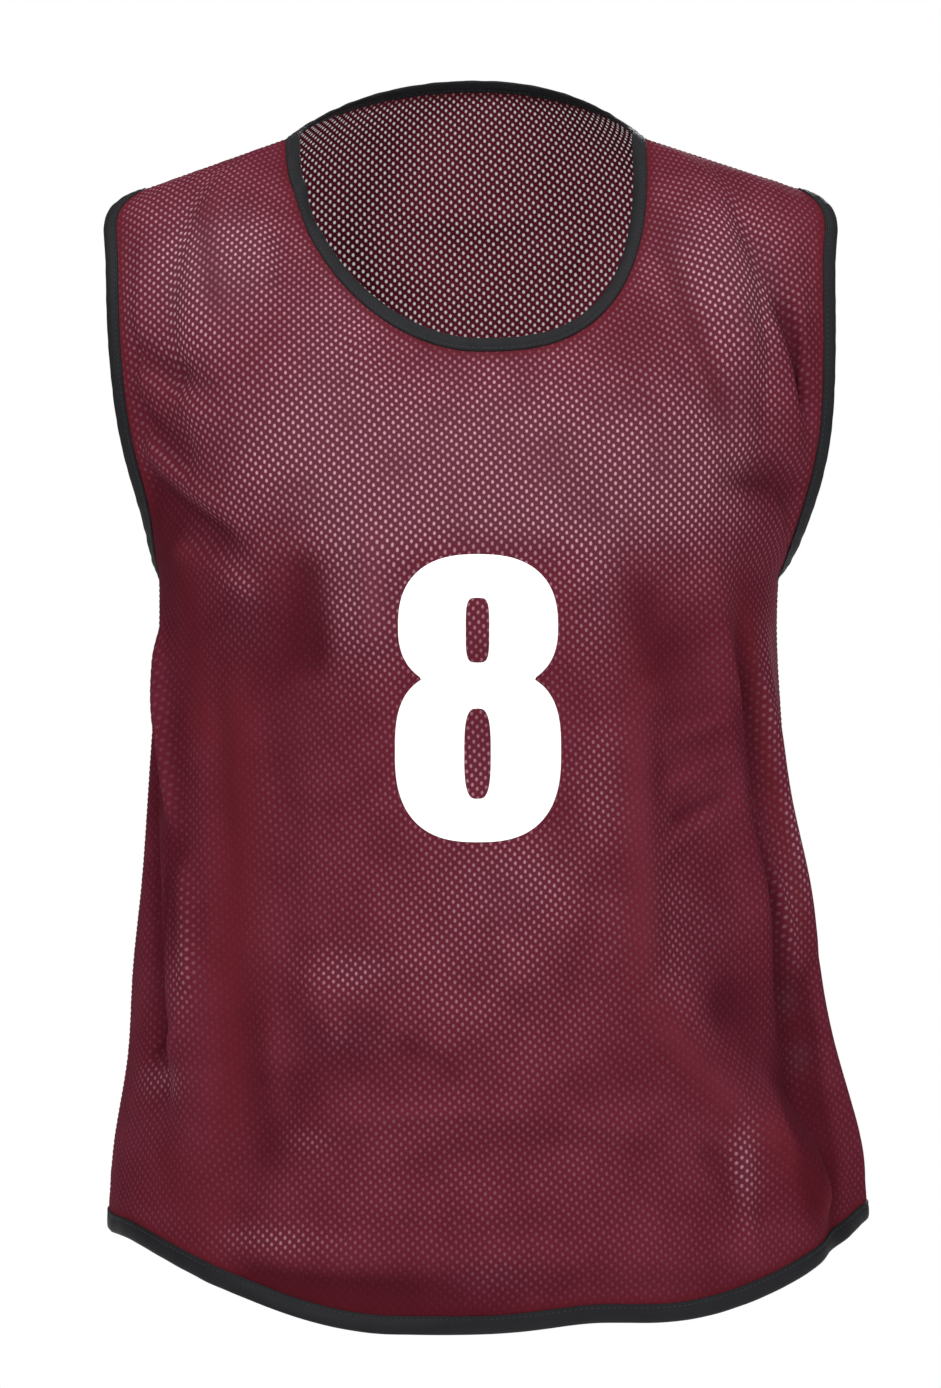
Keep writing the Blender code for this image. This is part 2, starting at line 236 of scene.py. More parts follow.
def neck_points(turn, facing):
    angle = turn * math.pi / 2
    half = np.where(turn < 0, NECK_HALF_RIGHT, NECK_HALF_LEFT)
    if facing == FRONT:
        squareness = np.where(turn < 0, NECK_ROUNDNESS_RIGHT, NECK_ROUNDNESS_LEFT)
        sine, cosine = rounded(angle, squareness)
        z = NECK_POINT_Z - FRONT_NECK_DROP * cosine
        y = -FRONT_NECK_DEPTH * np.maximum(cosine, 0.0) ** FRONT_NECK_LEAN
    else:
        sine, cosine = np.sin(angle), np.maximum(np.cos(angle), 0.0)
        z = NECK_POINT_Z + BACK_NECK_RISE * cosine**BACK_NECK_PEAK
        y = BACK_NECK_DEPTH * cosine
    return stacked(NECK_CENTRE_X + half * sine, y + facing * SEAM_GAP / 2, z)


def top_points(share, facing):
    """The neck, and the shoulder seams on both sides of it."""
    side = np.sign(share)
    neck = neck_points(np.clip(share / NECK_SHARE, -1, 1), facing)
    along = np.clip((np.abs(share) - NECK_SHARE) / (1 - NECK_SHARE), 0, 1)[..., None]
    tip_x = np.where(side < 0, -SHOULDER_TIP_RIGHT_X, SHOULDER_TIP_LEFT_X)
    tip = stacked(tip_x, neck[..., 1], SHOULDER_TIP_Z)
    return neck * (1 - along) + tip * along


def top_directions(share, facing):
    """Which way, and how straight, the cloth runs where it reaches the top edge."""
    at_centre = np.array([0.0, 0.40, 0.92] if facing == FRONT else [0.0, -0.75, 0.66])
    lean = smooth((1 - np.abs(share)) / (1 - NECK_SHARE))
    at_shoulder = stacked(-np.sign(share) * lean, -facing, SHOULDER_SLOPE * lean)
    mix = smooth(np.abs(share) / NECK_SHARE)[..., None]
    length = NECK_ROUND * (1 - mix) + SHOULDER_ROUND * mix
    return unit(at_centre * (1 - mix) + at_shoulder * mix) * length


def armhole_points(side, up, facing):
    """The armhole's edge, from the armpit at 0 to the shoulder tip at 1."""
    height = (1 - np.cos(math.pi * up)) / 2
    right, left = np.moveaxis(armhole_width_at(height), -1, 0)
    x = -right if side < 0 else left
    y = facing * (ARMHOLE_DEPTH * np.sin(math.pi * up) + SEAM_GAP / 2)
    side = np.array(float(side))
    tip = top_points(side, facing)[2]
    foot = body_points(side, ARMPIT_Z, facing)[2]
    return stacked(x, y, foot + (tip - foot) * height)


# %% The yoke above the armpits
def yoke_curves(share, up, facing):
    start, end = body_points(share, ARMPIT_Z, facing), top_points(share, facing)
    step = 0.010
    climb = (start - body_points(share, ARMPIT_Z - step, facing)) / step
    length = np.linalg.norm(end - start, axis=-1, keepdims=True)
    leave, arrive = climb * length, top_directions(share, facing) * length
    u2, u3 = up[..., None] ** 2, up[..., None] ** 3
    return (
        (2 * u3 - 3 * u2 + 1) * start
        + (u3 - 2 * u2 + up[..., None]) * leave
        + (3 * u2 - 2 * u3) * end
        + (u3 - u2) * arrive
    )


def yoke_points(share, up, facing):
    points = yoke_curves(share, up, facing)
    spread = ARMHOLE_PULL + (ARMPIT_PULL - ARMHOLE_PULL) * (1 - smooth(up / 0.8))
    for side in (-1, 1):
        edge = yoke_curves(np.array([float(side)]), up, facing)
        pull = armhole_points(side, up, facing) - edge
        reach = np.where(share * side > 0, np.abs(share), 0.0) ** spread
        points = points + pull * reach[..., None]
    return points


def panel_grid(facing, columns, body_rows, yoke_rows):
    share = np.linspace(-1, 1, columns + 1)[None, :]
    heights = np.linspace(HEM_SIDE_Z, ARMPIT_Z, body_rows + 1)[:, None]
    ups = np.linspace(0, 1, yoke_rows + 1)[1:, None]
    body = body_points(share, heights, facing)
    return np.concatenate([body, yoke_points(share, ups, facing)])


def normals_of(grid, facing):
    """Unit vectors out of the garment at each point of a panel's grid."""
    faces = unit(np.cross(grid[1:, 1:] - grid[:-1, :-1], grid[1:, :-1] - grid[:-1, 1:]))
    around = np.pad(faces, ((1, 1), (1, 1), (0, 0)))
    total = around[1:, 1:] + around[1:, :-1] + around[:-1, 1:] + around[:-1, :-1]
    return unit(total) * -facing


# %% [markdown]
# ## Folds and creases
#
# Cloth that hangs from the shoulders breaks into long soft folds, and smaller creases pull from
# the armholes and the neck. Each is one row of a table: where it starts and ends as seen from in
# front, its half width, its height out of the cloth (below zero is a trough) and how far its
# middle bows, in millimetres. The first tables are the solids' own folds, the others are finer
# and lie on top. A Gaussian bump across and a soft fade at both ends make each one die out.

# %% Rows in millimetres, and the solids' own folds
Fold = namedtuple("Fold", "from_x from_z to_x to_z width height bow")


def in_metres(kind, rows, share=None):
    """A table's rows, from millimetres to metres. The column called share has no unit."""
    units = [1 if field == share else 1000 for field in kind._fields]
    return [kind(*(value / unit for value, unit in zip(row, units))) for row in rows]


FRONT_FOLDS = in_metres(Fold, [
    (169, -262, 232, -700, 16, 7, 6),
    (158, -250, 214, -700, 15, -9, 8),
    (147, -225, 180, -520, 16, 6, 4),
    (102, -250, 104, -540, 20, 4, 0),
    (122, -260, 124, -520, 18, -4, 0),
    (98, -500, 215, -650, 24, 9, 8),
    (128, -505, 205, -580, 24, -9, 0),
    (-180, -270, -160, -600, 18, 8, 4),
    (-188, -290, -176, -610, 14, -10, 4),
    (-140, -310, -150, -660, 34, 8, 0),
    (-98, -300, -134, -640, 20, -6, 0),
    (-90, -540, -150, -650, 20, -6, 0),
    (-66, -190, -62, -330, 24, 4, 0),
    (-110, -585, 150, -585, 16, 3, 30),
    (-150, -640, 150, -630, 18, 4, -25),
    (-220, -128, -145, -152, 12, -5, 0),
    (-220, -152, -150, -198, 13, -6, 0),
    (-200, -196, -125, -256, 15, -7, 0),
    (172, -75, 200, -200, 12, -4, 0),
    (135, -202, 200, -216, 12, -4, 0),
])
BACK_FOLDS = in_metres(Fold, [
    (172, -250, 228, -700, 18, -8, -6),
    (140, -240, 170, -700, 24, 7, 0),
    (95, -300, 110, -700, 22, -6, 0),
    (50, -360, 40, -700, 24, 5, 0),
    (-12, -330, -20, -700, 22, -5, 0),
    (-70, -340, -78, -700, 24, 6, 0),
    (-120, -290, -132, -700, 22, -7, 0),
    (-165, -250, -195, -700, 18, 7, 4),
    (200, -150, 110, -215, 16, -5, 0),
    (195, -200, 110, -270, 16, -5, 0),
    (-205, -145, -120, -205, 16, -5, 0),
    (-195, -195, -105, -275, 16, -6, 0),
])

# %% Finer creases of the front: shoulders, armholes, chest, sides, belly
FRONT_CREASES = in_metres(Fold, [
    (-156, -45, -143, -119, 8.1, -1, -8.1),
    (-135, -45, -120, -116, 9.3, 1.4, 8.1),
    (-114, -58, -111, -104, 5.8, -1.1, 3.5),
    (-86, -104, -68, -169, 6, -1, 1.7),
    (-71, -115, -47, -181, 5.8, 2, 1.7),
    (-57, -131, -35, -178, 5.5, -0.9, 1.2),
    (105, -48, 157, -194, 7.5, -2, -5.8),
    (118, -45, 171, -153, 8.5, 1.4, 3.5),
    (135, -35, 186, -119, 9.1, -1.2, 3.5),
    (95, -104, 155, -198, 7, -1.4, -4.6),
    (87, -131, 126, -186, 5.8, 1.8, -1.7),
    (178, -96, 197, -175, 8.1, -3, 4.6),
    (149, -211, 182, -214, 5, -1, 1.7),
    (180, -210, 187, -238, 5, -1, 1.7),
    (-203, -116, -134, -162, 7, -0.9, -2.3),
    (-200, -138, -138, -177, 7, 1.4, -2.3),
    (-198, -159, -160, -207, 6, -1, 1.7),
    (-194, -183, -136, -232, 7, 2.2, 2.3),
    (-188, -211, -120, -256, 7, -1.6, 2.9),
    (-179, -242, -115, -278, 7, 2, 3.5),
    (-98, -241, -93, -330, 13.9, -3.2, 2.3),
    (103, -258, 106, -338, 16.2, -2.2, -2.3),
    (-56, -230, -55, -315, 9.3, 3, 0),
    (-182, -276, -163, -428, 5.8, 3.6, 2.9),
    (-185, -276, -174, -417, 7, -3.8, 2.9),
    (-163, -422, -156, -514, 5.8, 3, 1.7),
    (-170, -427, -177, -520, 3.5, -2.4, 1.2),
    (-177, -517, -190, -548, 3.5, -2.2, 1.7),
    (-148, -301, -129, -594, 10.4, -2.6, 3.5),
    (-120, -336, -116, -599, 9.3, 2, 2.3),
    (-160, -520, -187, -561, 5.2, 2, 2.9),
    (154, -290, 190, -440, 5, -1, 2.3),
    (176, -424, 192, -550, 7.5, -1.2, 1.7),
    (190, -547, 212, -626, 7, -1.6, 1.2),
    (143, -280, 196, -510, 4.4, 2.3, 2.9),
    (160, -280, 176, -360, 4, 1.4, 1),
    (97, -330, 100, -516, 12.8, 2.8, -2.3),
    (100, -513, 161, -578, 11.6, 2.6, -3.5),
    (161, -577, 211, -641, 10.4, 3, 3.5),
    (126, -582, 172, -646, 10.4, -2.4, 2.3),
    (109, -360, 154, -345, 4.6, 1.8, 1.2),
    (111, -388, 153, -369, 4.6, 1.8, 1.2),
    (106, -428, 147, -398, 4.6, 1.8, 1.2),
    (111, -409, 153, -388, 4.6, -1.6, 1.2),
    (-20, -447, 8, -515, 9.3, -1.3, -2.3),
    (71, -447, 49, -515, 9.3, -1.2, 2.3),
    (17, -444, 28, -512, 9.3, 2, 0),
    (-95, -582, 129, -594, 6.4, 2.2, 17.4),
    (-69, -614, 134, -600, 7.4, -1.3, 20.9),
    (-97, -629, 96, -634, 7, 1.6, 8.1),
    (-150, -660, 6, -674, 9.5, -3.4, -3.5),
    (-98, -484, -72, -541, 8.1, 1.8, 3.5),
    (-46, -529, 0, -557, 7, -1.6, 3.5),
    (200, -481, 192, -518, 5.8, -1, 0),
    (152, -582, 160, -662, 7, 2.2, 2.3),
    (-127, -536, -119, -622, 11.6, -1.4, 1.7),
    (-23, -181, 0, -247, 15.1, 1.2, 0),
    (40, -164, 80, -247, 15.1, -1.2, 0),
    (-9, -140, 3, -233, 11.6, 1, 0),
    (-104, -25, -100, -64, 5.8, 1.2, 0),
])

# %% Similar creases on the back, which the photograph hides
BACK_CREASES = in_metres(Fold, [
    (-205, -120, -138, -165, 5.5, -2.6, 2),
    (-203, -142, -130, -190, 6, 2.2, 2),
    (-196, -178, -132, -236, 6.2, -2.8, -2),
    (-186, -222, -110, -262, 6.8, 2.2, 3),
    (203, -115, 140, -150, 5.5, -2.4, 2),
    (200, -150, 128, -198, 6.2, 2.4, 2),
    (192, -190, 120, -244, 6.2, -2.8, -2),
    (182, -228, 108, -270, 7, 2, 3),
    (-115, -40, -80, -150, 8, -2, 6),
    (-90, -30, -52, -120, 7, 1.8, 5),
    (110, -40, 76, -146, 8, -2, -6),
    (88, -30, 50, -118, 7, 1.6, -5),
    (-60, -20, 62, -22, 9, -1.6, -16),
    (-30, -150, -44, -330, 15, 2.2, 4),
    (30, -180, 20, -360, 15, -2, 4),
    (-160, -300, -172, -470, 9, -3.4, 3),
    (-146, -330, -158, -560, 8.5, 3, 3),
    (-100, -340, -112, -600, 9.5, 2.6, -3),
    (-46, -400, -50, -640, 9.5, -2.6, 3),
    (12, -380, 8, -650, 10, 2.4, -4),
    (72, -360, 80, -630, 9.5, -2.8, 3),
    (128, -310, 144, -600, 9, -3, 4),
    (150, -290, 172, -480, 8, 3.2, 3),
    (166, -450, 188, -620, 7.5, 2, 3),
    (-182, -430, -196, -610, 7.5, 3, -3),
    (-120, -440, -20, -470, 9, 1.4, -20),
    (10, -500, 130, -470, 9, -1.4, -18),
    (-110, -600, 90, -610, 7, 1.8, 14),
    (-60, -645, 140, -636, 7.5, -2, -6),
    (90, -560, 170, -620, 8, 2.2, 6),
    (-165, -560, -100, -640, 8, -2.4, 5),
])

# %% How the tables press into a panel
CREASE_DEPTH = 1.7
FADE_SHARE = 0.25


def girth_places(x, z):
    """How far round from the centre line a point lies, from its place as seen from in front."""
    x, z = np.asarray(x, float), np.asarray(z, float)
    below = section_at(np.maximum(z, HEM_SIDE_Z))[..., 1:3]
    up = np.clip((z - ARMPIT_Z) / (SHOULDER_TIP_Z - ARMPIT_Z), 0, 1)
    halves = np.where((z <= ARMPIT_Z)[..., None], below, armhole_width_at(up))
    half = np.where(x < 0, halves[..., 0], halves[..., 1])
    return np.arcsin(np.clip(x / half, -1, 1)) * 2 / math.pi * QUARTER_GIRTH


def fold_heights(grid, folds):
    places = np.stack([girth_places(grid[..., 0], grid[..., 2]), grid[..., 2]], axis=-1)
    total = np.zeros(places.shape[:2])
    for fold in folds:
        start = np.array([girth_places(fold.from_x, fold.from_z), fold.from_z])
        end = np.array([girth_places(fold.to_x, fold.to_z), fold.to_z])
        length = np.linalg.norm(end - start)
        along = (end - start) / length
        share = (places - start) @ along / length
        inside = np.clip(share, 0, 1)
        off = (places - start) @ np.array([-along[1], along[0]])
        off = off - fold.bow * 4 * inside * (1 - inside)
        fade = smooth(share / FADE_SHARE) * smooth((1 - share) / FADE_SHARE)
        total += fold.height * np.exp(-((off / fold.width) ** 2)) * fade
    return total


def ripple(along, away, pitch, height, reach):
    """Small uneven waves beside an edge, none at the edge itself."""
    wave = np.sin(2 * math.pi * along / pitch + 1.9 * np.sin(along * 47) + 1.1 * np.sin(along * 23))
    near = (away / reach) ** 2
    return height * wave * 2.7 * near * np.exp(-near)


def edge_distances(flat):
    """How far each point lies from the hem, the top edge and the two side edges."""
    rows = [np.linalg.norm(flat - flat[k : k + 1 or None], axis=-1) for k in (0, -1)]
    columns = [np.linalg.norm(flat - flat[:, k : k + 1 or None], axis=-1) for k in (0, -1)]
    return *rows, *columns


def puckers(flat):
    """Where a seam or a tape is sewn on, the cloth beside it draws up a little."""
    to_hem, to_top, to_right, to_left = edge_distances(flat)
    inward = smooth(np.minimum(to_right, to_left) / 0.03)
    total = ripple(flat[..., 1], to_right, 0.017, 0.0003, 0.012)
    total += ripple(flat[..., 1] + 0.4, to_left, 0.019, 0.0003, 0.012)
    total += ripple(flat[..., 0], to_hem, 0.021, 0.0004, 0.013) * inward
    return total + ripple(flat[..., 0] + 0.2, to_top, 0.018, 0.0003, 0.012) * inward


def folded_panel(facing, folds, creases, flat, columns, body_rows, yoke_rows):
    """The panel's points, and the heights that paint its shade and highlights: the creases in full and
    half of the broad folds.
    """
    grid = panel_grid(facing, columns, body_rows, yoke_rows)
    calm = smooth((1 - np.abs(np.linspace(-1, 1, columns + 1))) / EDGE_CALM)
    broad = fold_heights(grid, folds) * calm
    fine = CREASE_DEPTH * fold_heights(grid, creases) * calm
    heights = broad + fine + puckers(flat)
    return grid + normals_of(grid, facing) * heights[..., None], fine + broad / 2


# %% [markdown]
# ## The grain of the cloth
#
# Mesh cloth is knitted flat, so its rows of holes run straight through the cut piece and only
# bend with the body. To lay the pattern the same way, each panel is flattened as a pattern cutter
# would: every small triangle keeps its size and may only turn, and the whole sheet settles
# between them. Points of the plane are complex numbers here, so that a turn is one product. The
# result is both the texture's map, in metres, and the piece's real flat size.

# %% Flattening a panel
def numbered(rows, columns):
    return np.arange(rows * columns).reshape(rows, columns)


def quads_of(index, flip=False):
    """The four corners of each cell in a grid of numbers."""
    a, b, c, d = index[:-1, :-1], index[:-1, 1:], index[1:, 1:], index[1:, :-1]
    return np.stack([a, d, c, b] if flip else [a, b, c, d], -1).reshape(-1, 4)


def flattened(grid, rounds=40):
    """Lays a grid of points flat with as little stretch as it can, in metres."""
    rows, columns = grid.shape[:2]
    quads = quads_of(numbered(rows, columns))
    triangles = np.concatenate([quads[:, [0, 1, 2]], quads[:, [0, 2, 3]]])
    corners = grid.reshape(-1, 3)[triangles]
    first, second = corners[:, 1] - corners[:, 0], corners[:, 2] - corners[:, 0]
    length = np.linalg.norm(first, axis=1)
    along = np.sum(first * second, axis=1) / length
    across = np.linalg.norm(second - first * (along / length)[:, None], axis=1)
    flat = np.stack([0 * length, length, along + 1j * across], -1)
    area = float(np.sum(length * across) / 2)
    count = rows * columns
    pull = np.zeros((count, count))
    edges = []
    for k in range(3):
        i, j = triangles[:, k], triangles[:, (k + 1) % 3]
        to_i, to_j = (flat[:, n % 3] - flat[:, (k + 2) % 3] for n in (k, k + 1))
        spread = np.conj(to_i) * to_j
        weight = spread.real / spread.imag / 2
        for row, column, sign in ((i, i, 1), (j, j, 1), (i, j, -1), (j, i, -1)):
            np.add.at(pull, (row, column), sign * weight)
        edges.append((i, j, weight * (to_i - to_j)))
    pull[0, 0] += 1.0
    solve = np.linalg.inv(pull)
    place = (girth_places(grid[..., 0], grid[..., 2]) + 1j * grid[..., 2]).ravel()
    for _ in range(rounds):
        turn = sum(np.conj(edge) * (place[i] - place[j]) for i, j, edge in edges)
        turn = turn / np.abs(turn)
        wanted = np.zeros(count, complex)
        for i, j, edge in edges:
            np.add.at(wanted, i, turn * edge)
            np.add.at(wanted, j, -turn * edge)
        place = solve @ wanted
    return np.stack([place.real, place.imag], -1).reshape(rows, columns, 2), area


def straightened(flat, level_row):
    """Turns the flat piece so that one row lies level, with its middle at the origin."""
    row = flat[level_row]
    along = unit(row[-1] - row[0])
    turn = np.array([[along[0], -along[1]], [along[1], along[0]]])
    return (flat - row[len(row) // 2]) @ turn


def finer(values, step):
    """A grid of values read at every step of a finer grid, by splines along both ways."""
    for _ in range(2):
        rows, columns = values.shape[:2]
        read = spline(np.arange(rows), values.reshape(rows, -1))
        values = read(np.linspace(0, rows - 1, (rows - 1) * step + 1))
        values = values.reshape(-1, columns, 2).transpose(1, 0, 2)
    return values


# %% The two panels' points, and their flat sizes
STEP = 6
COARSE = (38, 21, 17)
FINE = tuple(count * STEP for count in COARSE)

panels = {}
for facing, *tables in ((FRONT, FRONT_FOLDS, FRONT_CREASES), (BACK, BACK_FOLDS, BACK_CREASES)):
    coarse = panel_grid(facing, *COARSE)
    flat, flat_area = flattened(coarse)
    flat = straightened(flat, COARSE[1])
    fine_flat = finer(flat, STEP)
    points, shade_relief = folded_panel(facing, *tables, fine_flat, *FINE)
    panels[facing] = {
        "points": points,
        "shade_relief": shade_relief,
        "normals": normals_of(points, facing),
        "flat": fine_flat,
        "size": [float(v) for v in np.ptp(flat.reshape(-1, 2), axis=0)],
        "area": flat_area,
    }
    print("front" if facing == FRONT else "back", panels[facing]["size"], round(flat_area, 4))

# %% [markdown]
# ## Where the holes look pale
#
# In the photograph the holes of the mesh are pale where light comes back through them and dark
# where the cloth stands off or turns away. That light is painted into the holes' colour. It is a
# slow change in soft patches, so it is a table too: a place on the bib, a half width and height,
# and a strength. Other tables hold the places of painted shade, and bands of painted shade where
# the holes are shut and the yarn is a darker red, as they are on the seam allowances, where the
# doubled cloth really shuts them. Each point of the mesh carries the sums as numbers that the
# material reads.

# %% Soft patches of pale holes, where light coming through them is painted
Patch = namedtuple("Patch", "x z half_width half_height strength")
FRONT_PATCHES = in_metres(Patch, share="strength", rows=[
    (-160, -84, 43, 54, 0.9),
    (-128, -77, 20, 27, 0.5),
    (-81, -122, 29, 52, 0.55),
    (5, -175, 87, 52, 0.6),
    (34, -210, 52, 41, 0.6),
    (-115, -190, 50, 46, 0.55),
    (112, -205, 46, 55, 0.65),
    (150, -190, 30, 40, 0.35),
    (170, -85, 26, 40, 0.4),
    (134, -74, 35, 46, 0.6),
    (159, -121, 29, 41, 0.35),
    (-57, -204, 46, 41, 0.45),
    (-130, -281, 14, 32, 0.4),
    (-62, -272, 26, 46, 0.8),
    (0, -232, 110, 22, 0.45),
    (74, -278, 17, 41, 0.45),
    (74, -387, 15, 35, 0.35),
    (11, -478, 64, 64, 0.33),
    (28, -438, 35, 23, 0.28),
    (-66, -490, 29, 15, 0.4),
    (-69, -529, 23, 12, 0.35),
    (126, -468, 23, 46, 0.3),
    (158, -603, 8, 26, 0.65),
    (186, -512, 7, 10, 0.9),
    (193, -545, 8, 12, 0.9),
    (192, -420, 10, 70, 0.45),
    (176, -330, 10, 50, 0.3),
    (-112, -643, 29, 7, 0.4),
    (17, -662, 23, 8, 0.35),
    (-167, -483, 7, 35, 0.3),
    (-180, -557, 12, 9, 0.5),
    (-92, -587, 12, 7, 0.3),
    (4, -295, 41, 35, 0.3),
    (4, -367, 12, 30, 0.4),
    (0, -605, 120, 55, 0.12),
    (-20, -400, 100, 80, 0.1),
    (0, -130, 200, 110, 0.16),
])
BACK_PATCHES = in_metres(Patch, share="strength", rows=[
    (-115, -150, 50, 45, 0.4),
    (110, -160, 50, 45, 0.4),
    (0, -200, 90, 50, 0.35),
    (-40, -330, 60, 60, 0.25),
    (50, -520, 60, 50, 0.25),
])

# %% Soft places where the cloth lies in shade
FRONT_SHADES = in_metres(Patch, share="strength", rows=[
    (-130, -292, 40, 35, 0.7),
    (-88, -318, 26, 30, 0.28),
    (90, -290, 36, 32, 0.3),
    (-115, -365, 14, 40, 0.45),
    (176, -215, 20, 35, 0.45),
    (140, -330, 30, 60, 0.3),
    (-174, -400, 12, 100, 1.1),
    (-166, -470, 12, 60, 0.8),
    (-194, -330, 12, 80, 0.6),
    (-76, -528, 36, 24, 0.75),
    (50, -556, 90, 20, 0.4),
    (20, -630, 110, 12, 0.35),
    (140, -460, 20, 50, 0.45),
    (194, -530, 12, 35, 1.1),
    (192, -578, 12, 32, 1.9),
    (202, -612, 11, 28, 1.8),
    (144, -506, 36, 22, 0.5),
    (-40, -684, 90, 12, 1),
    (0, -662, 130, 14, 0.85),
    (165, -672, 50, 12, 0.45),
    (-181, -236, 15, 30, 0.9),
])
BACK_SHADES = in_metres(Patch, share="strength", rows=[
    (-120, -300, 50, 40, 0.4),
    (130, -310, 50, 40, 0.4),
    (10, -460, 90, 40, 0.3),
    (-80, -600, 60, 30, 0.4),
    (100, -620, 50, 30, 0.4),
])

# %% Bands of painted shade, where no hole shows: the same rows as a fold's, with a strength in place of a height
FRONT_SHADE_BANDS = in_metres(Fold, share="height", rows=[
    (-134, -262, -136, -640, 22, 1, -4),
    (-170, -250, -152, -380, 14, 0.8, 0),
    (-200, -200, -150, -270, 18, 0.7, 0),
    (-185, -590, -130, -650, 22, 0.6, 0),
    (97, -320, 100, -530, 11, 0.8, -2),
    (100, -500, 165, -590, 13, 0.8, -3),
    (158, -568, 212, -650, 16, 0.9, 3),
    (160, -235, 204, -520, 13, 0.9, 4),
    (185, -480, 215, -640, 15, 0.6, 0),
    (-143, -20, -140, -130, 9, 0.7, -6),
    (107, -40, 150, -190, 8, 0.6, -5),
    (-100, -225, -95, -340, 16, 0.5, 0),
    (100, -240, 104, -350, 20, 0.6, 0),
    (-190, -662, 10, -680, 12, 0.8, 0),
])
BACK_SHADE_BANDS = in_metres(Fold, share="height", rows=[
    (-150, -240, -165, -650, 22, 0.9, 0),
    (150, -240, 168, -650, 22, 0.9, 0),
    (-85, -320, -95, -640, 14, 0.6, 0),
    (30, -350, 26, -650, 14, 0.6, 0),
    (-180, -170, -90, -230, 12, 0.6, 0),
    (180, -170, 90, -230, 12, 0.6, 0),
])


# %% The seam allowances, and the sum of the patches
ALLOWANCE, ALLOWANCE_FADE = 0.0025, 0.005
SHOULDER_ALLOWANCE, TOP_FADE = 0.0080, 0.006
SHOULDER_START = 0.05


def closed_margin(flat):
    """The seam allowances, which double the cloth and shut its holes: 1 at an edge, 0 inside."""
    to_hem, to_top, to_right, to_left = edge_distances(flat)
    share = np.abs(np.linspace(-1, 1, flat.shape[1]))
    wider = (SHOULDER_ALLOWANCE - ALLOWANCE) * smooth((share - NECK_SHARE) / SHOULDER_START)
    margins = [smooth((to_top - ALLOWANCE - wider) / TOP_FADE)]
    margins += [smooth((d - ALLOWANCE) / ALLOWANCE_FADE) for d in (to_hem, to_right, to_left)]
    return 1 - np.min(margins, axis=0)


def patch_sum(points, patches):
    total = np.zeros(points.shape[:2])
    for patch in patches:
        across = (points[..., 0] - patch.x) / patch.half_width
        upward = (points[..., 2] - patch.z) / patch.half_height
        total += patch.strength * np.exp(-(across**2 + upward**2))
    return total


# %% [markdown]
# ## From points to a mesh
#
# A grid of points becomes quads in one go. The map goes into a UV layer, corner by corner, and
# the patches into a point attribute. Closed grids wrap their last column onto the first, which
# is what a ring of tape needs.

# %% Making a mesh from a grid
def smooth_piece(name, points, faces, finish):
    mesh = bpy.data.meshes.new(name)
    mesh.from_pydata(points, [], faces)
    mesh.shade_smooth()
    mesh.materials.append(finish)
    return placed(name, mesh)


def grid_mesh(name, points, finish, uv, flip=False, wrap=False, floats=()):
    index = numbered(*points.shape[:2])
    if wrap:
        index = np.concatenate([index, index[:, :1]], axis=1)
    faces = quads_of(index, flip).tolist()
    piece = smooth_piece(name, points.reshape(-1, 3).tolist(), faces, finish)
    corners = quads_of(numbered(*uv.shape[:2]), flip).reshape(-1)
    layer = piece.data.uv_layers.new(name="Cloth")
    layer.data.foreach_set("uv", uv.reshape(-1, 2)[corners].astype(np.float32).ravel())
    for label, values in floats:
        attribute = piece.data.attributes.new(label, "FLOAT", "POINT")
        attribute.data.foreach_set("value", values.astype(np.float32).ravel())
    return piece


def lengths_along(line):
    return np.concatenate([[0.0], np.cumsum(np.linalg.norm(np.diff(line, axis=0), axis=1))])


def looped(values):
    """A loop's values with the first one again at the end."""
    return np.concatenate([values, values[:1]])


def swept(name, corner_lines, marks, lengths, finish):
    """A closed profile along a line: the line of each corner, and its mark across the map."""
    points = np.array(corner_lines).transpose(1, 0, 2)
    flat = stacked(lengths[:, None], np.array(marks)[None, :], 0.0)[..., :2]
    return grid_mesh(name, points, finish, flat, wrap=True)


# %% [markdown]
# ## Materials as expressions
#
# A shader graph is maths on pictures of numbers. Wrapping a socket in a small class lets Python's
# own operators add the Math nodes, so a pattern reads like its formula. Colours go through Mix
# and Vector Math, which keep all three channels.

# %% A socket that does sums
class Wire:
    """One output of a node graph. Operators on it add Math nodes."""

    def __init__(self, graph, socket):
        self.graph = graph
        self.socket = socket

    def maths(self, operation, *others):
        values = dict(enumerate((self, *others)))
        return self.graph.node("ShaderNodeMath", {"operation": operation}, values)

    def __add__(self, other):
        return self.maths("ADD", other)

    def __neg__(self):
        return self * -1

    def __sub__(self, other):
        return self.maths("SUBTRACT", other)

    def __rsub__(self, other):
        return self.graph.node("ShaderNodeMath", {"operation": "SUBTRACT"}, {0: other, 1: self})

    def __mul__(self, other):
        return self.maths("MULTIPLY", other)

    def __truediv__(self, other):
        return self.maths("DIVIDE", other)

    def __pow__(self, other):
        return self.maths("POWER", other)

    __radd__ = __add__
    __rmul__ = __mul__

    def wrapped(self):
        """The place inside one cell, from -0.5 to 0.5."""
        return self.maths("WRAP", 0.5, -0.5)

    def eased(self, low, high):
        """0 below low, 1 above high, smooth between."""
        settings = {"interpolation_type": "SMOOTHSTEP"}
        return self.graph.node("ShaderNodeMapRange", settings, {0: self, 1: low, 2: high})


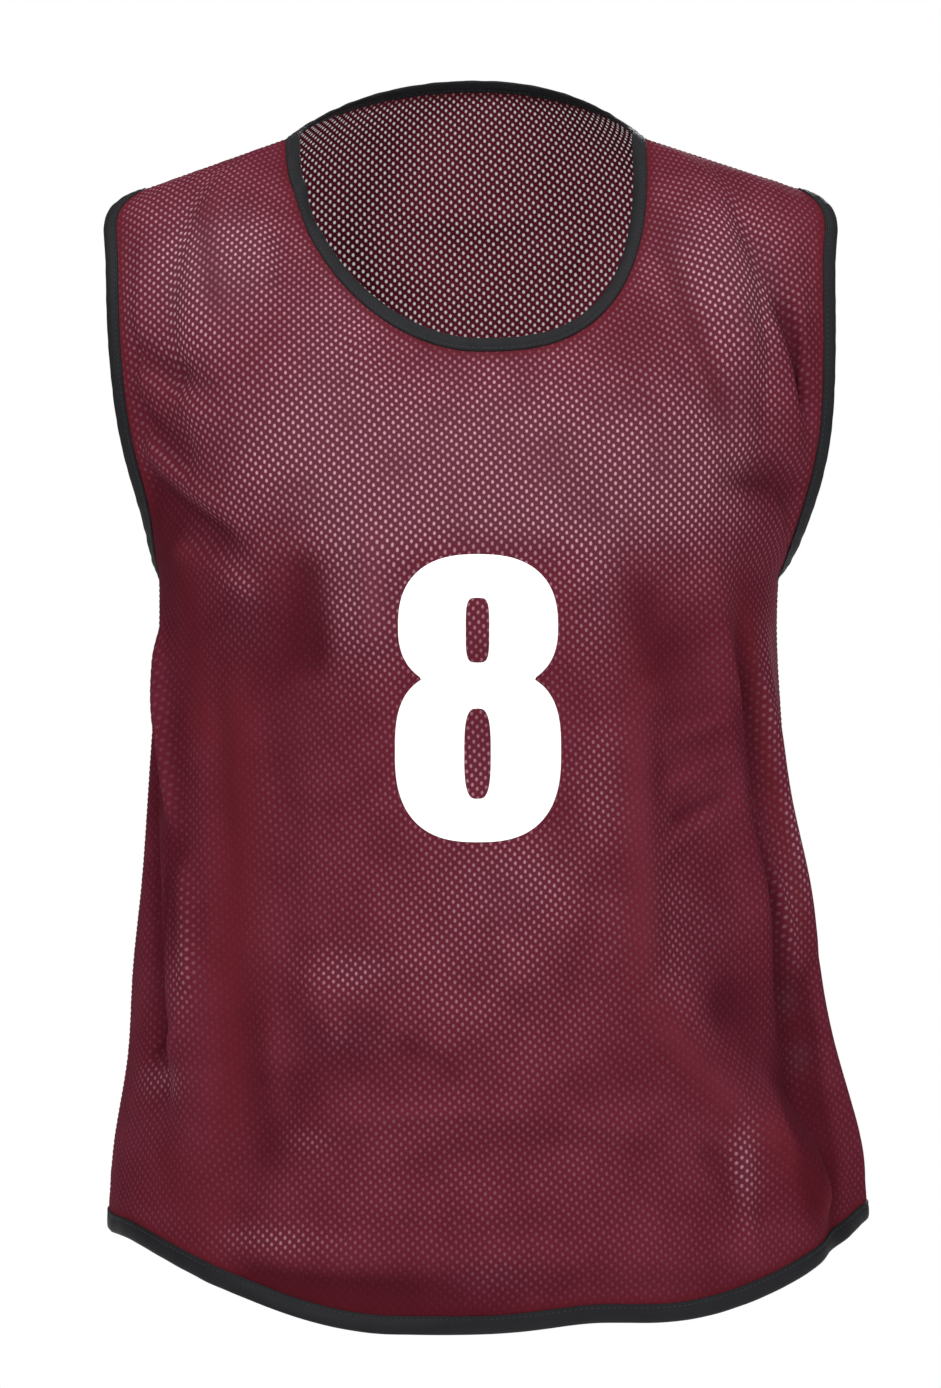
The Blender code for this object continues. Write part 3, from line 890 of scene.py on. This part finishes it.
class Graph:
    """The node graph of one material, or of the world."""

    def __init__(self, owner, shader="Principled BSDF"):
        owner.use_nodes = True
        self.owner = owner
        self.tree = owner.node_tree
        self.shader = self.tree.nodes[shader]

    def node(self, kind, settings=None, values=None, output=0):
        made = self.tree.nodes.new(kind)
        for key, value in (settings or {}).items():
            setattr(made, key, value)
        self.fill(made, values or {})
        return Wire(self, made.outputs[output])

    def fill(self, made, values):
        for key, value in values.items():
            if isinstance(value, Wire):
                self.tree.links.new(value.socket, made.inputs[key])
            else:
                made.inputs[key].default_value = value

    def mix(self, factor, low, high):
        """Two colours, given as red, green and blue or as a socket, mixed."""
        low, high = ((*c, 1) if isinstance(c, tuple) else c for c in (low, high))
        settings = {"data_type": "RGBA"}
        return self.node("ShaderNodeMix", settings, {0: factor, 6: low, 7: high}, output=2)

    def place(self):
        """The place on the flattened cloth, in metres."""
        return self.node("ShaderNodeUVMap", {"uv_map": "Cloth"})

    def across_and_up(self, vector):
        first = self.node("ShaderNodeSeparateXYZ", {}, {0: vector})
        return first, Wire(self, first.socket.node.outputs[1])

    def noise(self, place, scale, detail=2.0, output=0):
        values = {"Vector": place, "Scale": scale, "Detail": detail}
        return self.node("ShaderNodeTexNoise", {}, values, output)

    def carried(self, label):
        """A number that each point of the mesh carries."""
        return self.node("ShaderNodeAttribute", {"attribute_name": label}, {}, output=2)

    def bump(self, strength, distance, height):
        values = {"Strength": strength, "Distance": distance, "Height": height}
        return self.node("ShaderNodeBump", {}, values)

    def finish(self, **values):
        self.fill(self.shader, {key.replace("_", " "): v for key, v in values.items()})
        return self.owner


def new_material(name):
    return Graph(bpy.data.materials.new(name))


# %% [markdown]
# ## The mesh knit
#
# The real cloth is a polyester warp knit, with small upright holes in a staggered lattice whose
# rows climb slightly across the chest. A picture of it could be used, but two sums make it at
# any size: the place inside a lattice cell, and the distance to an oval hole in it. The second
# lattice is the same one moved by half a cell. Everything is in metres of the flattened cloth.

# %% The lattice of holes
ROW_TILT = math.radians(8.7)
COLUMN_TILT = math.radians(4.2)
HOLE_PITCH_ALONG = 0.00535
HOLE_PITCH_ACROSS = 0.00540
HOLE_HALF_WIDTH = 0.00082
HOLE_HALF_HEIGHT = 0.00108
HOLE_EDGE = (0.55, 1.35)
CLOSED_SHARE = 0.85
WALE_PITCH = 0.0009
YARN_WOBBLE = 0.0008


def mesh_knit(name):
    graph = new_material(name)
    place = graph.place()
    wobble = graph.noise(place, 60.0, output=1)
    settings = {"operation": "MULTIPLY_ADD"}
    values = {0: wobble, 1: (YARN_WOBBLE,) * 3, 2: place}
    across, upward = graph.across_and_up(graph.node("ShaderNodeVectorMath", settings, values))
    along_row = across * math.cos(COLUMN_TILT) + upward * math.sin(COLUMN_TILT)
    along_row = along_row / HOLE_PITCH_ALONG
    over_rows = (upward * math.cos(ROW_TILT) - across * math.sin(ROW_TILT)) / HOLE_PITCH_ACROSS
    closeness = []
    for shift in (0.0, 0.5):
        x = (along_row + shift).wrapped() * (HOLE_PITCH_ALONG / HOLE_HALF_WIDTH)
        y = (over_rows + shift).wrapped() * (HOLE_PITCH_ACROSS / HOLE_HALF_HEIGHT)
        closeness.append((x * x + y * y) ** 0.5)
    distance = closeness[0].maths("MINIMUM", closeness[1])
    # The pale number paints light coming back through the holes, strongest on the chest
    closed, through_light = graph.carried("closed"), graph.carried("pale")
    shade_relief, sheer = graph.carried("shade_relief"), graph.carried("sheer")
    # Holes are shut where the cloth is doubled at the seams, and in the bands of painted shade
    hole = (1 - distance.eased(*HOLE_EDGE)) * (1 - closed * CLOSED_SHARE)
    # Painted shade: how deep a point lies in a crease's trough or in a shade patch
    crease_shade = (-shade_relief).eased(0.0, 1.0)
    patchy = graph.noise(place, 26.0, 3.0).eased(0.28, 0.72)
    fleck = graph.noise(place, 900.0).eased(0.35, 0.75)
    # How pale the holes are painted: the painted light through them, dimmed by the painted shade in
    # the creases
    pale = (through_light * 1.1 + 0.04) * (0.55 + patchy * 0.75) * (1 - crease_shade * 0.7)
    yarn = graph.mix(patchy, (0.092, 0.0098, 0.0190), (0.119, 0.0144, 0.0278))
    yarn = graph.mix(fleck * 0.35, yarn, (0.15, 0.021, 0.036))
    # The holes' painted colour, from dim maroon up to pale pink where light through them is painted
    lit = graph.mix(pale, (0.130, 0.023, 0.042), (0.51, 0.28, 0.33))
    # A darker red: the real doubled cloth on the seam allowances, and painted shade in the bands along
    # the folds
    yarn = graph.mix(closed * 0.6, yarn, (0.112, 0.0115, 0.0155))
    # Painted light: the yarn is painted lighter and pinker where light comes through the holes
    yarn = graph.mix(through_light**1.5 * 0.66, yarn, (0.125, 0.0360, 0.0540))
    colour = graph.mix(hole, yarn, lit)
    # Painted shade: the troughs of the creases and the shade patches darkened towards a deep maroon
    colour = graph.mix(crease_shade * 0.55, colour, (0.045, 0.0038, 0.0085))
    # Painted highlight: the crests of the folds lightened towards a pinker maroon
    colour = graph.mix(shade_relief.eased(0.1, 1.0) * 0.25, colour, (0.19, 0.034, 0.060))
    see_through = hole * (1 - through_light.eased(0.0, 0.35)) * sheer
    wale = (across / WALE_PITCH).wrapped()
    rib = 1 - wale * wale * 4
    return graph.finish(
        Base_Color=colour,
        Roughness=0.7,
        IOR=1.08,
        Alpha=1 - see_through,
        Normal=graph.bump(0.35, 0.0004, rib * 0.25 + distance.eased(0.7, 1.6)),
        Sheen_Weight=0.015,
        Sheen_Roughness=0.4,
        Sheen_Tint=(0.9, 0.35, 0.45, 1.0),
        Specular_IOR_Level=0.3,
    )


maroon_mesh = mesh_knit("maroon_mesh")

# %% The two panels
PANEL_PIECES = {
    FRONT: ("front_mesh", "front_panel", FRONT_PATCHES, FRONT_SHADES, FRONT_SHADE_BANDS),
    BACK: ("back_mesh", "back_panel", BACK_PATCHES, BACK_SHADES, BACK_SHADE_BANDS),
}
RELIEF_DEPTH = 0.008
SHEER, SHEER_FROM, SHEER_RISE = 0.10, -0.640, 0.060
NECK_SHEER, NECK_SHEER_FROM = 0.45, -0.150
shells = {}
for facing, (name, node, patches, shades, shade_bands) in PANEL_PIECES.items():
    panel = panels[facing]
    points, flat = panel["points"], panel["flat"]
    sheer = SHEER * smooth((points[..., 2] - SHEER_FROM) / SHEER_RISE)
    if facing == BACK:
        near_neck = smooth((points[..., 2] - NECK_SHEER_FROM) / SHEER_RISE)
        sheer = sheer + (NECK_SHEER - SHEER) * near_neck
    # The first three numbers paint light and shade into the knit: pale holes where light comes
    # through, shade from the relief and the shade patches, and bands of shade that shut the holes
    # beside the real seam allowances. The last one lets real light through the holes.
    floats = [
        ("pale", np.clip(patch_sum(points, patches), 0, 1)),
        ("closed", np.clip(fold_heights(points, shade_bands) + closed_margin(flat), 0, 1)),
        ("shade_relief", panel["shade_relief"] / RELIEF_DEPTH - patch_sum(points, shades)),
        ("sheer", sheer),
    ]
    shell = grid_mesh(name, points, maroon_mesh, flat, flip=facing == BACK, floats=floats)
    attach(shell, "root")
    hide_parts(node)
    shells[facing] = shell
    print(name, len(shell.data.polygons), "quads")

# %% [markdown]
# ## The binding tape
#
# A narrow woven tape is folded over the raw edge of the mesh and sewn down by one row of stitches
# close to its inner side. Seen from the front that is a soft flat band with a thin lip, a sunk
# line where the thread pulls it in, and a rounded fold at the edge. The band is one closed
# profile carried round each edge, so the same function makes all four rings.

# %% The edges that the tape follows
def joined(front, back):
    """One closed loop from two open edges that start and end at the same seams."""
    start, end = (front[0] + back[0]) / 2, (front[-1] + back[-1]) / 2
    return np.array([start, *front[1:-1], end, *back[-2:0:-1]])


def edge_loop(front_parts, back_parts):
    """The edge, the direction out of the panel and the normal, round a loop over both panels."""
    edge, inside, normal = (joined(f, b) for f, b in zip(front_parts, back_parts))
    tangent = unit(np.roll(edge, -1, axis=0) - np.roll(edge, 1, axis=0))
    normal = unit(normal - tangent * np.sum(normal * tangent, axis=1, keepdims=True))
    outward = np.cross(tangent, normal)
    return edge, outward * np.sign(np.sum(outward * (edge - inside))), normal


shares = np.linspace(-1, 1, FINE[0] + 1)
in_neck = np.abs(shares) <= NECK_SHARE
in_arm = slice(FINE[1], None)
both = [(panels[f]["points"], panels[f]["normals"]) for f in (FRONT, BACK)]
LOOPS = {
    "hem": edge_loop(*[(p[0], p[1], n[0]) for p, n in both]),
    "neck": edge_loop(*[(p[-1][in_neck], p[-2][in_neck], n[-1][in_neck]) for p, n in both]),
    "right_armhole": edge_loop(*[(p[in_arm, 0], p[in_arm, 1], n[in_arm, 0]) for p, n in both]),
    "left_armhole": edge_loop(*[(p[in_arm, -1], p[in_arm, -2], n[in_arm, -1]) for p, n in both]),
}

# %% The tape's profile and its material
TAPE_LIP = 0.0012
STITCH_LINE = 0.0008
TAPE_RIB = 0.0009
TAPE_ROW = 0.0006


def tape_profile(width):
    """The folded tape's section: places across it, and shares of half its thickness."""
    face = [
        (-TAPE_LIP, 0.45),
        (-TAPE_LIP * 0.6, 0.95),
        (STITCH_LINE - 0.0004, 0.78),
        (STITCH_LINE + 0.0004, 0.74),
        (STITCH_LINE + 0.0014, 1.05),
        (width * 0.50, 1.12),
        (width * 0.78, 1.00),
        (width * 0.92, 0.70),
        (width * 0.99, 0.25),
    ]
    return face + [(w, -n) for w, n in reversed(face)]


def tape_ring(name, loop, width, finish):
    edge, outward, normal = (looped(values) for values in loop)
    lengths = lengths_along(edge)
    turns = lengths / lengths[-1] * 2 * math.pi
    pucker = 0.00012 * np.sin(turns * 37) + 0.00010 * np.sin(turns * 61 + 1.3)
    profile = np.array(tape_profile(width)) * (1, TAPE_THICKNESS / 2)
    lines = [
        edge + outward * across + normal * (height + pucker * np.sign(height))[:, None]
        for across, height in profile
    ]
    return swept(name, lines, lengths_along(looped(profile)), lengths, finish), lengths[-1]


def woven_tape(name):
    graph = new_material(name)
    place = graph.place()
    along, across = graph.across_and_up(place)
    rib = (along / TAPE_RIB + (across / (TAPE_ROW * 2)).maths("FLOOR") * 0.5).wrapped()
    cross = (across / TAPE_ROW).wrapped()
    weave = 1 - rib * rib * 2.5 - cross * cross * 1.5
    mottle = graph.noise(place, 55.0, 4.0)
    colour = graph.mix(mottle, (0.0080, 0.0084, 0.0098), (0.0150, 0.0152, 0.0180))
    return graph.finish(
        Base_Color=graph.mix(weave.eased(-0.2, 0.9), (0.006, 0.006, 0.007), colour),
        Roughness=0.6,
        Normal=graph.bump(0.3, 0.0002, weave),
        Sheen_Weight=0.04,
        Sheen_Roughness=0.4,
        Specular_IOR_Level=0.16,
    )


black_tape = woven_tape("black_tape")
RING_NODES = {
    "hem": "hem_binding",
    "neck": "neck_binding",
    "right_armhole": "armhole_binding_right",
    "left_armhole": "armhole_binding_left",
}
rings = {}
for place, node in RING_NODES.items():
    width = TAPE_WIDTHS[place]
    rings[place], length = tape_ring(place + "_tape", LOOPS[place], width, black_tape)
    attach(rings[place], "root")
    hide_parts(node)
    print(place, "tape:", round(length, 3), "m")

# %% [markdown]
# ## The stitches
#
# One row of lockstitch holds each tape, on both faces of the cloth. A stitch is a short bead of
# thread, thicker in its middle, whose ends dive into the tape. A bead is a few rings of points,
# worked out for a whole row at once. That is quick, and truer than a bump: each bead catches the
# light on its own and is part of the mesh.

# %% One bead of thread (place along it, thickness, lift), and a row of them
STITCH_PITCH = 0.0032
STITCH_LENGTH = 0.0024
THREAD_RADIUS = 0.00028
BEAD = [(-0.5, 0.35, -0.5), (-0.3, 0.9, 0.0), (0.0, 1.0, 0.15), (0.3, 0.9, 0.0), (0.5, 0.35, -0.5)]
BEAD_SIDES = 6


def along_line(points, lengths, at):
    return np.stack([np.interp(at, lengths, points[:, k]) for k in range(3)], -1)


def thread_row(name, line, normal, lengths, finish):
    """Beads of thread along a line that lies on a surface with these normals."""
    count = int(lengths[-1] / STITCH_PITCH)
    middles = (np.arange(count) + 0.5) * lengths[-1] / count
    ahead = along_line(line, lengths, middles + STITCH_LENGTH / 2)
    behind = along_line(line, lengths, middles - STITCH_LENGTH / 2)
    centre, up = (ahead + behind) / 2, unit(along_line(normal, lengths, middles))
    forward = unit(ahead - behind)
    side = unit(np.cross(forward, up))
    turns = np.arange(BEAD_SIDES) * 2 * math.pi / BEAD_SIDES
    corners = []
    for place, thickness, lift in BEAD:
        middle = centre + forward * place * STITCH_LENGTH + up * lift * THREAD_RADIUS
        for turn in turns:
            spoke = side * math.cos(turn) + up * math.sin(turn)
            corners.append(middle + spoke * THREAD_RADIUS * thickness)
    points = np.array(corners).transpose(1, 0, 2).reshape(-1, 3)
    index = numbered(len(BEAD), BEAD_SIDES)
    bead = quads_of(np.concatenate([index, index[:, :1]], axis=1)).tolist()
    bead += [index[0, ::-1].tolist(), index[-1].tolist()]
    faces = [[v + start for v in face] for start in range(0, len(points), index.size) for face in bead]
    piece = smooth_piece(name, points.tolist(), faces, finish)
    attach(piece, "root")
    print(name, count, "stitches")
    return piece


def thread(name, dark, light):
    graph = new_material(name)
    place = graph.node("ShaderNodeTexCoord", output=3)
    twist = graph.noise(place, 1400.0)
    colour, bump = graph.mix(twist, dark, light), graph.bump(0.4, 0.0001, twist)
    return graph.finish(Base_Color=colour, Roughness=0.5, Normal=bump, Specular_IOR_Level=0.2)


black_thread = thread("black_thread", (0.016, 0.016, 0.018), (0.05, 0.05, 0.055))
maroon_thread = thread("maroon_thread", (0.080, 0.009, 0.016), (0.16, 0.025, 0.040))

# %% The rows on the four tapes
SUNK = 0.76 * TAPE_THICKNESS / 2
stitches = []
for place, (edge, outward, normal) in LOOPS.items():
    for face, sign in (("outer", 1), ("inner", -1)):
        line = looped(edge + outward * STITCH_LINE + normal * sign * SUNK)
        row = line, looped(normal) * sign, lengths_along(line)
        stitches.append(thread_row(f"{place}_{face}_stitches", *row, black_thread))

# %% [markdown]
# ## Side and shoulder seams
#
# Front and back are joined by an overlocked seam, pressed flat: a narrow ridge of doubled cloth
# with thread across it. Each ridge is a low closed profile along the line where the panels meet,
# and two rows of maroon thread beads run along it, one on each side of its middle.

# %% The four seams
SEAM_HALF_WIDTH = 0.0022
SEAM_HEIGHT = 0.0007
SEAM_SIDES = 12
SEAM_WRAP = 0.0011


def seam(name, rows, columns):
    """A ridge along the edge that both panels share, and the threads along it."""
    line = sum(p["points"][rows, columns] for p in panels.values()) / 2
    up = unit(sum(p["normals"][rows, columns] for p in panels.values()))
    forward = unit(np.gradient(line, axis=0))
    up = unit(up - forward * np.sum(up * forward, axis=1, keepdims=True))
    side = np.cross(forward, up)
    turns = np.arange(SEAM_SIDES + 1) * 2 * math.pi / SEAM_SIDES
    reaches = np.cos(turns) * SEAM_HALF_WIDTH
    heights = np.sin(turns[:-1]) * SEAM_HEIGHT
    lines = [line + side * reach + up * height for reach, height in zip(reaches, heights)]
    lengths = lengths_along(line)
    ridge = swept(name, lines, reaches, lengths, maroon_seam)
    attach(ridge, "root")
    for k, sign in enumerate((-1, 1)):
        row = line + side * sign * SEAM_HALF_WIDTH * 0.55 + up * SEAM_HEIGHT * 0.8
        thread_row(f"{name}_stitches_{k}", row, up, lengths, maroon_thread)


def seam_cloth(name):
    graph = new_material(name)
    place = graph.place()
    wrap = (graph.across_and_up(place)[0] / SEAM_WRAP).wrapped()
    bump = graph.bump(0.5, 0.0003, 1 - wrap * wrap * 4)
    colour = graph.mix(graph.noise(place, 120.0), (0.095, 0.012, 0.019), (0.13, 0.020, 0.030))
    return graph.finish(Base_Color=colour, Roughness=0.7, IOR=1.15, Normal=bump)


maroon_seam = seam_cloth("maroon_seam")
body_rows = slice(0, FINE[1] + 1)
neck_ends = np.flatnonzero(in_neck)
seam("side_seam_right", body_rows, 0)
seam("side_seam_left", body_rows, -1)
seam("shoulder_seam_right", -1, slice(0, neck_ends[0] + 1))
seam("shoulder_seam_left", -1, slice(neck_ends[-1], None))

# %% [markdown]
# ## The printed digit
#
# The chest carries a large plain 8 in white, printed as one crisp film. Its outline is two lobes
# and two slots, each a superellipse: half widths and heights, and a squareness. The film follows
# the cloth, so each of its points is found by a ray from the camera to the front's own surface,
# and set a hair above it. It is two strips, left and right of the slots, welded where they meet.
# Rows are packed closer where the outline turns flat.

# %% The digit's sizes, as seen from in front at the depth of the side seams
Lobe = namedtuple("Lobe", "z half_width up down square_up square_down")
DIGIT_X = 0.0045
UPPER_LOBE = Lobe(-0.2916, 0.0480, 0.0435, 0.0384, 2.5, 2.5)
LOWER_LOBE = Lobe(-0.3672, 0.0498, 0.0498, 0.0537, 3.0, 2.6)
SLOT_X = 0.0042
UPPER_SLOT = Lobe(-0.2937, 0.00705, 0.0195, 0.0195, 4.1, 4.1)
LOWER_SLOT = Lobe(-0.3678, 0.00795, 0.02715, 0.02715, 3.1, 3.1)
FILM_LIFT = 0.00035
FILM_COLUMNS = 22


def half_width(lobe, z):
    high = z > lobe.z
    reach, square = (lobe.up, lobe.square_up) if high else (lobe.down, lobe.square_down)
    share = min(abs(z - lobe.z) / reach, 1.0)
    return lobe.half_width * (1 - share**square) ** (1 / square)


def digit_rows():
    """Heights of the film's rows, packed closer at the flat turns of the outline."""
    tops = [UPPER_LOBE.z + UPPER_LOBE.up, LOWER_LOBE.z - LOWER_LOBE.down]
    for slot in (UPPER_SLOT, LOWER_SLOT):
        tops += [slot.z + slot.up, slot.z - slot.down]
    tops.sort()
    heights = []
    for low, high in zip(tops, tops[1:]):
        count = max(4, int((high - low) / 0.0011))
        share = (1 - np.cos(np.linspace(0, math.pi, count + 1))) / 2
        heights += list(low + (high - low) * (0.9 * share + 0.1 * np.linspace(0, 1, count + 1)))
    heights = sorted(set(round(h, 7) for h in heights))
    heights[0] += 0.00001
    heights[-1] -= 0.00001
    return heights


def printed_digit(name, finish):
    surface = panels[FRONT]["points"]
    quads = quads_of(numbered(*surface.shape[:2])).tolist()
    tree = BVHTree.FromPolygons(surface.reshape(-1, 3).tolist(), quads)
    eye = Vector(CAMERA_PLACE)
    points, faces = [], []
    heights = digit_rows()
    index = numbered(len(heights), FILM_COLUMNS + 1)
    for side in (-1, 1):
        faces += (quads_of(index, flip=side < 0) + len(points)).tolist()
        for z in heights:
            outer = max(half_width(lobe, z) for lobe in (UPPER_LOBE, LOWER_LOBE))
            inner = max(half_width(slot, z) for slot in (UPPER_SLOT, LOWER_SLOT))
            for x in np.linspace(SLOT_X + side * inner, DIGIT_X + side * outer, FILM_COLUMNS + 1):
                aim = (Vector((x, 0.0, z)) - eye).normalized()
                place, normal = tree.ray_cast(eye, aim)[:2]
                outward = normal if normal.y < 0 else -normal
                points.append(tuple(place + outward * FILM_LIFT))
    piece = smooth_piece(name, points, faces, finish)
    welder = bmesh.new()
    welder.from_mesh(piece.data)
    bmesh.ops.remove_doubles(welder, verts=welder.verts, dist=1e-6)
    welder.to_mesh(piece.data)
    welder.free()
    wall = piece.modifiers.new("film", "SOLIDIFY")
    wall.thickness = FILM_LIFT * 0.7
    wall.offset = -1.0
    print(name, len(piece.data.polygons), "faces")
    return piece


def white_print_and_glow(name):
    graph = new_material(name)
    place = graph.node("ShaderNodeTexCoord", output=3)
    grain = graph.noise(place, 700.0)
    return graph.finish(
        Base_Color=graph.mix(grain, (0.86, 0.86, 0.86), (0.93, 0.93, 0.93)),
        Roughness=0.55,
        Normal=graph.bump(0.08, 0.0002, grain),
        # Painted light: the print glows a little, so it reads whiter than the lamps alone make it
        Emission_Color=(1, 1, 1, 1),
        Emission_Strength=0.30,
    )


digit = printed_digit("digit_8", white_print_and_glow("white_print_and_glow"))
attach(digit, "root")

# %% [markdown]
# ## Floor and light
#
# The photograph is a cut-out on white, under large soft lamps. A pale floor and a white world
# give that ground, one large lamp from the upper left shapes the folds, and a weaker one fills.

# %% The stage
def floor_disc(radius=2.8, height=-1.3, sides=96):
    turns = [2 * math.pi * k / sides for k in range(sides)]
    ring = [(radius * math.cos(turn), radius * math.sin(turn), height) for turn in turns]
    finish = new_material("pale_floor").finish(
        Base_Color=(0.9, 0.9, 0.9, 1),
        Roughness=0.9,
        Specular_IOR_Level=0.0,
        Emission_Color=(1, 1, 1, 1),
        Emission_Strength=0.5,
    )
    return smooth_piece("floor", ring, [tuple(range(sides))], finish)


floor = floor_disc()


def lamp(name, place, aim, size, power):
    light = bpy.data.lights.new(name, "AREA")
    light.size = size
    light.energy = power
    made = placed(name, light)
    made.location = place
    made.rotation_euler = (Vector(aim) - Vector(place)).to_track_quat("-Z", "Y").to_euler()


lamp("key", (-1.1, -2.1, 1.6), (0, 0, -0.12), 0.9, 54)
lamp("fill", (1.8, -1.9, 0.6), (0, 0, -0.26), 1.4, 23)
lamp("top", (0.2, -0.5, 2.0), (0, 0, -0.1), 1.2, 18)
lamp("back_light", (0.7, 2.5, 0.7), (0, 0, -0.35), 1.4, 48)

sky = Graph(bpy.data.worlds.new("studio"), "Background")
seen = sky.node("ShaderNodeLightPath")
bpy.context.scene.world = sky.finish(Color=(1, 1, 1, 1), Strength=seen * 0.8 + 0.2)
bpy.context.scene.view_settings.view_transform = "Standard"

# %% Each panel's flat size, and the pieces sewn onto the front
for facing, shell in shells.items():
    panel = panels[facing]
    width, length = panel["size"]
    tapes = [*rings.values(), *stitches, digit] if facing == FRONT else []
